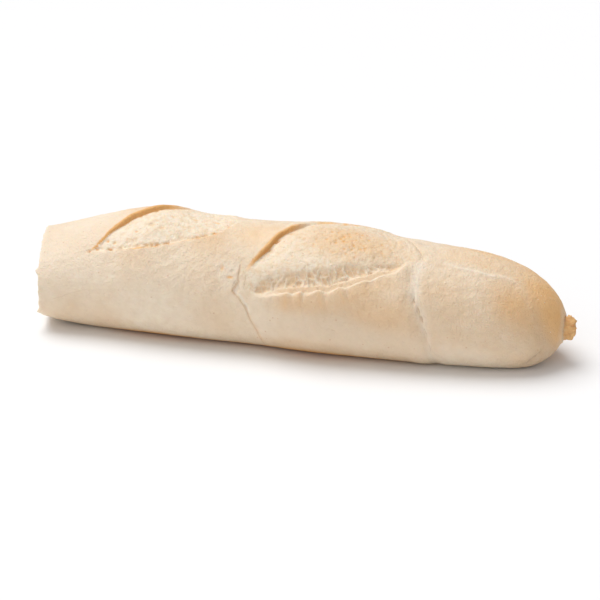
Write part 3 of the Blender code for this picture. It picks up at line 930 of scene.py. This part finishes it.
# %% [markdown]
# ## Finishes
#
# Bread's colour has no pattern that an image would be needed for: it drifts over centimetres, is
# mottled over millimetres and is broken by fine pores. So one network of nodes makes it, from the
# loaf's own coordinates and the numbers kept in the mesh.

# %% Node helpers
def fill(tree, node, inputs):
    """Fills a node's inputs with values or with other nodes' outputs."""
    for key, value in inputs.items():
        if isinstance(value, bpy.types.NodeSocket):
            tree.links.new(value, node.inputs[key])
        else:
            node.inputs[key].default_value = value
    return node


def add(tree, kind, inputs=None, **settings):
    """Adds a node, sets its options and fills its inputs."""
    node = tree.nodes.new(kind)
    for key, value in settings.items():
        setattr(node, key, value)
    return fill(tree, node, inputs or {})


def new_finish(name, inputs=None):
    """A material whose shader is filled with the inputs given."""
    material = bpy.data.materials.new(name)
    material.use_nodes = True
    tree = material.node_tree
    return material, tree, fill(tree, tree.nodes["Principled BSDF"], inputs or {})


def linear(red, green, blue):
    """A colour given as it looks on a screen, 0 to 255, as the shader needs it."""
    def part(value):
        value /= 255.0
        return value / 12.92 if value <= 0.04045 else ((value + 0.055) / 1.055) ** 2.4
    return (part(red), part(green), part(blue), 1.0)


def blend(tree, amount, under, over):
    """One colour laid over another."""
    inputs = {"Factor": amount, 6: under, 7: over}
    return add(tree, "ShaderNodeMix", inputs, data_type="RGBA").outputs[2]


def remap(tree, value, low, high, to_low=0.0, to_high=1.0):
    inputs = {"Value": value, "From Min": low, "From Max": high, "To Min": to_low, "To Max": to_high}
    return add(tree, "ShaderNodeMapRange", inputs).outputs["Result"]


def maths(tree, operation, *values):
    return add(tree, "ShaderNodeMath", dict(enumerate(values)), operation=operation).outputs[0]


def times(tree, a, b):
    return maths(tree, "MULTIPLY", a, b)


def kept(tree, name):
    return add(tree, "ShaderNodeAttribute", attribute_name=name).outputs["Fac"]


def mottle(tree, place_on, size_mm, detail=3.0, roughness=0.55):
    """Soft noise with features of about the given size."""
    inputs = {"Vector": place_on, "Scale": 1000.0 / size_mm, "Detail": detail, "Roughness": roughness}
    return add(tree, "ShaderNodeTexNoise", inputs).outputs["Fac"]


# %% Bread
CREAM = linear(245, 228, 203)
TAN = linear(235, 208, 175)
LEATHERY = linear(221, 192, 157)
DEEP_TAN = linear(206, 176, 142)
CRUMB_LIGHT = linear(247, 232, 209)
CRUMB_DEEP = linear(239, 215, 182)
GOLD = linear(240, 187, 120)
BROWN = linear(212, 148, 84)
# pale stretched dough, also used for painted light and a painted highlight
PALE_STRETCH_AND_LIGHT = linear(245, 231, 211)
SPECK = linear(205, 152, 104)
# painted shade inside the hair-thin slits
SLIT_SHADE_COLOUR = linear(172, 134, 96)


def bread_finish():
    material, tree, shader = new_finish("bread")
    on_loaf = add(tree, "ShaderNodeTexCoord").outputs["Object"]
    baked_and_shaded = kept(tree, "bake_and_shade")

    def patches(size_mm, detail, low, high, to_low=0.0, to_high=1.0, roughness=0.55):
        soft = mottle(tree, on_loaf, size_mm, detail, roughness)
        return remap(tree, soft, low, high, to_low, to_high)

    bubbles = add(tree, "ShaderNodeTexVoronoi", {"Vector": on_loaf, "Scale": 1000.0 / 3.4})
    some = add(tree, "ShaderNodeSeparateColor", {"Color": bubbles.outputs["Color"]}).outputs["Red"]
    speck = times(tree, remap(tree, bubbles.outputs["Distance"], 0.07, 0.13, 0.45, 0.0),
                  remap(tree, some, 0.55, 0.6))
    waver = patches(1.4, 2.0, 0.3, 0.7, -0.22, 0.22)
    beside_slit = maths(tree, "ABSOLUTE", maths(tree, "ADD", kept(tree, "slit_side"), waver))
    # painted shade along each hair-thin slit, darkest right at it
    line = times(tree, kept(tree, "slit_shade"), remap(tree, beside_slit, 0.05, 0.26, 1.0, 0.0))

    colour = CREAM
    for amount, over in (  # from the underneath up
            (patches(38.0, 2.0, 0.35, 0.65), TAN),
            (patches(4.0, 4.0, 0.4, 0.7, 0.0, 0.35), LEATHERY),
            (kept(tree, "crumb"),
             blend(tree, patches(2.4, 4.0, 0.4, 0.68, roughness=0.65), CRUMB_LIGHT, CRUMB_DEEP)),
            (times(tree, kept(tree, "tan"), 0.6), DEEP_TAN),
            # pale: stretched dough, plus painted light towards the cut end and a painted highlight on
            # the large slash's near crest
            (times(tree, kept(tree, "pale"), 0.9), PALE_STRETCH_AND_LIGHT),
            # browning, plus painted shade in hollows, pits, creases and the cut face's holes
            (remap(tree, baked_and_shaded, 0.0, 0.6), GOLD),
            (remap(tree, baked_and_shaded, 0.5, 1.0), BROWN),
            (speck, SPECK),
            (line, SLIT_SHADE_COLOUR)):
        colour = blend(tree, amount, colour, over)

    wrinkle, pores = mottle(tree, on_loaf, 2.4, 4.0, 0.6), mottle(tree, on_loaf, 0.9, 4.0, 0.6)
    bump = add(tree, "ShaderNodeBump", {"Height": wrinkle, "Distance": 0.0010, "Strength": 0.6})
    bump = add(tree, "ShaderNodeBump", {"Height": pores, "Distance": 0.0007, "Strength": 0.7,
                                        "Normal": bump.outputs["Normal"]})
    fill(tree, shader, {
        "Base Color": colour, "Roughness": patches(6.0, 3.0, 0.3, 0.7, 0.52, 0.72),
        "Normal": bump.outputs["Normal"], "Specular IOR Level": 0.35, "Subsurface Weight": 0.18,
        "Subsurface Radius": (1.0, 0.55, 0.3), "Subsurface Scale": 0.0022})
    return material


BREAD = bread_finish()
loaf.data.materials.append(BREAD)
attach(loaf, "root")
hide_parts("baguette")
print("bread finish:", len(BREAD.node_tree.nodes), "nodes")

# %% [markdown]
# ## Flour, strands and crumbs
#
# Three small things come by the dozen: grains of flour on the crust, strands of crumb that still
# cross the groove, and crumbs that the knife left on the cut end. Geometry nodes lay them out: on
# the loaf's own surface, or along paths drawn over the groove. Each result is kept as a plain mesh.

# %% Helpers for geometry nodes
def growing_tree(name, sizes):
    """A new tree of geometry nodes, with a named input for each size."""
    tree = bpy.data.node_groups.new(name, "GeometryNodeTree")
    tree.interface.new_socket("Geometry", in_out="INPUT", socket_type="NodeSocketGeometry")
    tree.interface.new_socket("Geometry", in_out="OUTPUT", socket_type="NodeSocketGeometry")
    for title, value in sizes.items():
        kind = "NodeSocketInt" if isinstance(value, int) else "NodeSocketFloat"
        tree.interface.new_socket(title, in_out="INPUT", socket_type=kind).default_value = value
    return tree, tree.nodes.new("NodeGroupInput").outputs


def finish_tree(tree, geometry, material, marks=()):
    """Ends a tree: real faces, the numbers that the bread's finish reads, and a material."""
    geometry = add(tree, "GeometryNodeRealizeInstances", {"Geometry": geometry}).outputs[0]
    for mark, value in marks:
        inputs = {"Geometry": geometry, "Name": mark, "Value": value}
        geometry = add(tree, "GeometryNodeStoreNamedAttribute", inputs,
                       data_type="FLOAT", domain="POINT").outputs[0]
    inputs = {"Geometry": geometry, "Material": material}
    geometry = add(tree, "GeometryNodeSetMaterial", inputs).outputs[0]
    add(tree, "NodeGroupOutput", {"Geometry": geometry})


def grow(name, source, tree, sizes):
    """Runs a tree on a source and keeps what it grows as a piece of its own."""
    modifier = source.modifiers.new(name, "NODES")
    modifier.node_group = tree
    for item in tree.interface.items_tree:
        if item.in_out == "INPUT" and item.name in sizes:
            modifier[item.identifier] = sizes[item.name]
    bpy.context.view_layer.update()
    evaluated = source.evaluated_get(bpy.context.evaluated_depsgraph_get())
    mesh = bpy.data.meshes.new_from_object(evaluated)
    source.modifiers.remove(modifier)
    mesh.name = name
    piece = show(name, mesh)
    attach(piece, "root")
    print(name + ":", len(mesh.polygons), "faces")
    return piece


def scattered_tree(name, mark, seed, detail, material, marks, sizes):
    """Small rough lumps scattered over a surface, where its mark allows."""
    tree, given = growing_tree(name, sizes)
    allowed = add(tree, "GeometryNodeInputNamedAttribute", {"Name": mark}, data_type="FLOAT")
    spots = add(tree, "GeometryNodeDistributePointsOnFaces", {
        "Mesh": given["Geometry"], "Distance Min": given["Gap"], "Density Max": given["Density"],
        "Density Factor": allowed.outputs[0], "Seed": seed}, distribute_method="POISSON")
    lump = add(tree, "GeometryNodeMeshIcoSphere", {"Radius": given["Radius"], "Subdivisions": detail})
    size = add(tree, "FunctionNodeRandomValue", {2: 0.5, 3: 1.5, "Seed": seed + 1}, data_type="FLOAT")
    placed = add(tree, "GeometryNodeInstanceOnPoints", {
        "Points": spots.outputs["Points"], "Instance": lump.outputs[0],
        "Rotation": spots.outputs["Rotation"], "Scale": size.outputs[1]})
    placed = add(tree, "GeometryNodeRealizeInstances", {"Geometry": placed.outputs[0]})
    rough = add(tree, "ShaderNodeTexNoise", {"Scale": given["Roughness scale"], "Detail": 1.0})
    centred = add(tree, "ShaderNodeVectorMath", {0: rough.outputs["Color"], 1: (0.5, 0.5, 0.5)},
                  operation="SUBTRACT")
    pushed = add(tree, "ShaderNodeVectorMath", {0: centred.outputs[0], "Scale": given["Radius"]},
                 operation="SCALE")
    shaped = add(tree, "GeometryNodeSetPosition",
                 {"Geometry": placed.outputs[0], "Offset": pushed.outputs[0]}).outputs[0]
    finish_tree(tree, shaped, material, marks)
    return tree


# %% Flour on the crust
FLOUR, _, _ = new_finish("flour", {
    "Base Color": linear(247, 238, 224), "Roughness": 0.9, "Specular IOR Level": 0.2})
FLOUR_SIZES = {"Density": 60000.0, "Gap": 0.0016, "Radius": 0.00013, "Roughness scale": 4000.0}
flour_tree = scattered_tree("flour_tree", "dusting", 5, 1, FLOUR, (), FLOUR_SIZES)
grow("flour", loaf, flour_tree, FLOUR_SIZES)

# %% Crumbs on the cut end
CRUMB_SIZES = {"Density": 120000.0, "Gap": 0.0017, "Radius": 0.0004, "Roughness scale": 1600.0}
crumbs_tree = scattered_tree("crumbs_tree", "loose", 11, 2, BREAD, (("crumb", 1.0),), CRUMB_SIZES)
grow("crumbs", loaf, crumbs_tree, CRUMB_SIZES)


# %% Strands across the groove
def strand_paths():
    """Thin paths that climb from the ledge over the torn bubbles, a few points to each."""
    chance = np.random.default_rng(17)
    steps = np.hypot(*np.diff(LARGE_NEAR, axis=0).T)
    reach = np.concatenate([[0.0], np.cumsum(steps)])
    corners, edges = [], []
    for at in np.arange(9.0, 66.0, 5.2):
        at += chance.uniform(-1.0, 1.0)
        start = np.array([np.interp(at, reach, line) for line in LARGE_NEAR.T])
        climb = groove_height(at) * chance.uniform(0.45, 0.95)
        lean = chance.uniform(-0.9, 0.9)
        sideways = 0.26 + 0.30 * smooth_step(30.0, 60.0, at)
        for k, (share, rise) in enumerate(((0.0, -1.1), (0.35, -0.75), (0.7, -0.7), (1.0, -1.0))):
            away = groove_start(at) - 0.3 + share * climb
            spot = start + (lean * share - away * sideways, -away)
            corners.append((*spot, rise + chance.uniform(-0.1, 0.1)))
            if k:
                edges.append((len(corners) - 2, len(corners) - 1))
    return np.array(corners), edges


corners, edges = strand_paths()
path_mesh = bpy.data.meshes.new("strand_paths")
path_mesh.from_pydata(to_frame(wrap(*corners.T)).tolist(), edges, [])
paths = show("strand_paths", path_mesh)
STRAND_SIZES = {"Thickness": 0.0001, "Points": 7, "Sides": 5}
strand_tree, given = growing_tree("strand_tree", STRAND_SIZES)
curve = add(strand_tree, "GeometryNodeMeshToCurve", {"Mesh": given["Geometry"]}).outputs[0]
curve = add(strand_tree, "GeometryNodeCurveSplineType", {"Curve": curve},
            spline_type="CATMULL_ROM").outputs[0]
curve = add(strand_tree, "GeometryNodeResampleCurve",
            {"Curve": curve, "Count": given["Points"]}).outputs[0]
ring = add(strand_tree, "GeometryNodeCurvePrimitiveCircle",
           {"Resolution": given["Sides"], "Radius": given["Thickness"]}).outputs[0]
tube = add(strand_tree, "GeometryNodeCurveToMesh",
           {"Curve": curve, "Profile Curve": ring, "Fill Caps": True})
finish_tree(strand_tree, tube.outputs[0], BREAD, (("crumb", 1.0), ("pale", 0.8)))
grow("strands", paths, strand_tree, STRAND_SIZES)
bpy.data.objects.remove(paths)

# %% [markdown]
# ## Floor, light and camera
#
# The loaf lies on a white table in a bright room. One broad lamp is almost overhead, a little
# behind it and to the left, and a weaker one fills in from the front. So its top is almost white,
# its front is in soft shade, and its shadow falls towards the viewer. Both lamps are of the distant
# kind, which light a long loaf as evenly at one end as at the other.

# %% Floor
FLOOR_REACH = 12.0  # far enough that the camera below doesn't see its edge
CORNERS = ((-1, -1), (1, -1), (1, 1), (-1, 1))
floor_mesh = bpy.data.meshes.new("floor")
floor_mesh.from_pydata([(x * FLOOR_REACH, y * FLOOR_REACH, 0) for x, y in CORNERS],
                       [], [(0, 1, 2, 3)])
floor = show("floor", floor_mesh)
WHITE, _, _ = new_finish("white_table", {
    "Base Color": (0.89, 0.89, 0.89, 1.0), "Roughness": 0.7, "Specular IOR Level": 0.2})
floor_mesh.materials.append(WHITE)

# %% Room and lamps
room = bpy.data.worlds.new("room")
bpy.context.scene.world = room
room.use_nodes = True
fill(room.node_tree, room.node_tree.nodes["Background"],
     {"Color": (0.99, 0.98, 1.0, 1.0), "Strength": 0.40})


def lamp(name, towards, softness, power):
    """A lamp so far off that it lights the whole table evenly."""
    data = bpy.data.lights.new(name, "SUN")
    data.angle = math.radians(softness)
    data.energy = power
    show(name, data).rotation_euler = Vector(towards).to_track_quat("Z", "Y").to_euler()


lamp("key", (-0.45, 0.20, 1.1), 46.0, 2.26)
lamp("fill", (-0.5, -1.0, 0.8), 60.0, 0.52)
bpy.context.scene.view_settings.view_transform = "Standard"

# %% Camera
camera_data = bpy.data.cameras.new("camera")
camera_data.lens = 110.0
camera_data.sensor_width = 36.0
camera_data.clip_start = 0.01
camera = show("camera", camera_data)
TURN, RISE, DISTANCE = math.radians(16.0), math.radians(22.0), 0.76
target = Vector((0.0024, 0.0004, 0.0146))
back = Vector((math.sin(TURN) * math.cos(RISE), -math.cos(TURN) * math.cos(RISE), math.sin(RISE)))
camera.location = target + back * DISTANCE
camera.rotation_euler = back.to_track_quat("Z", "Y").to_euler()
bpy.context.scene.camera = camera
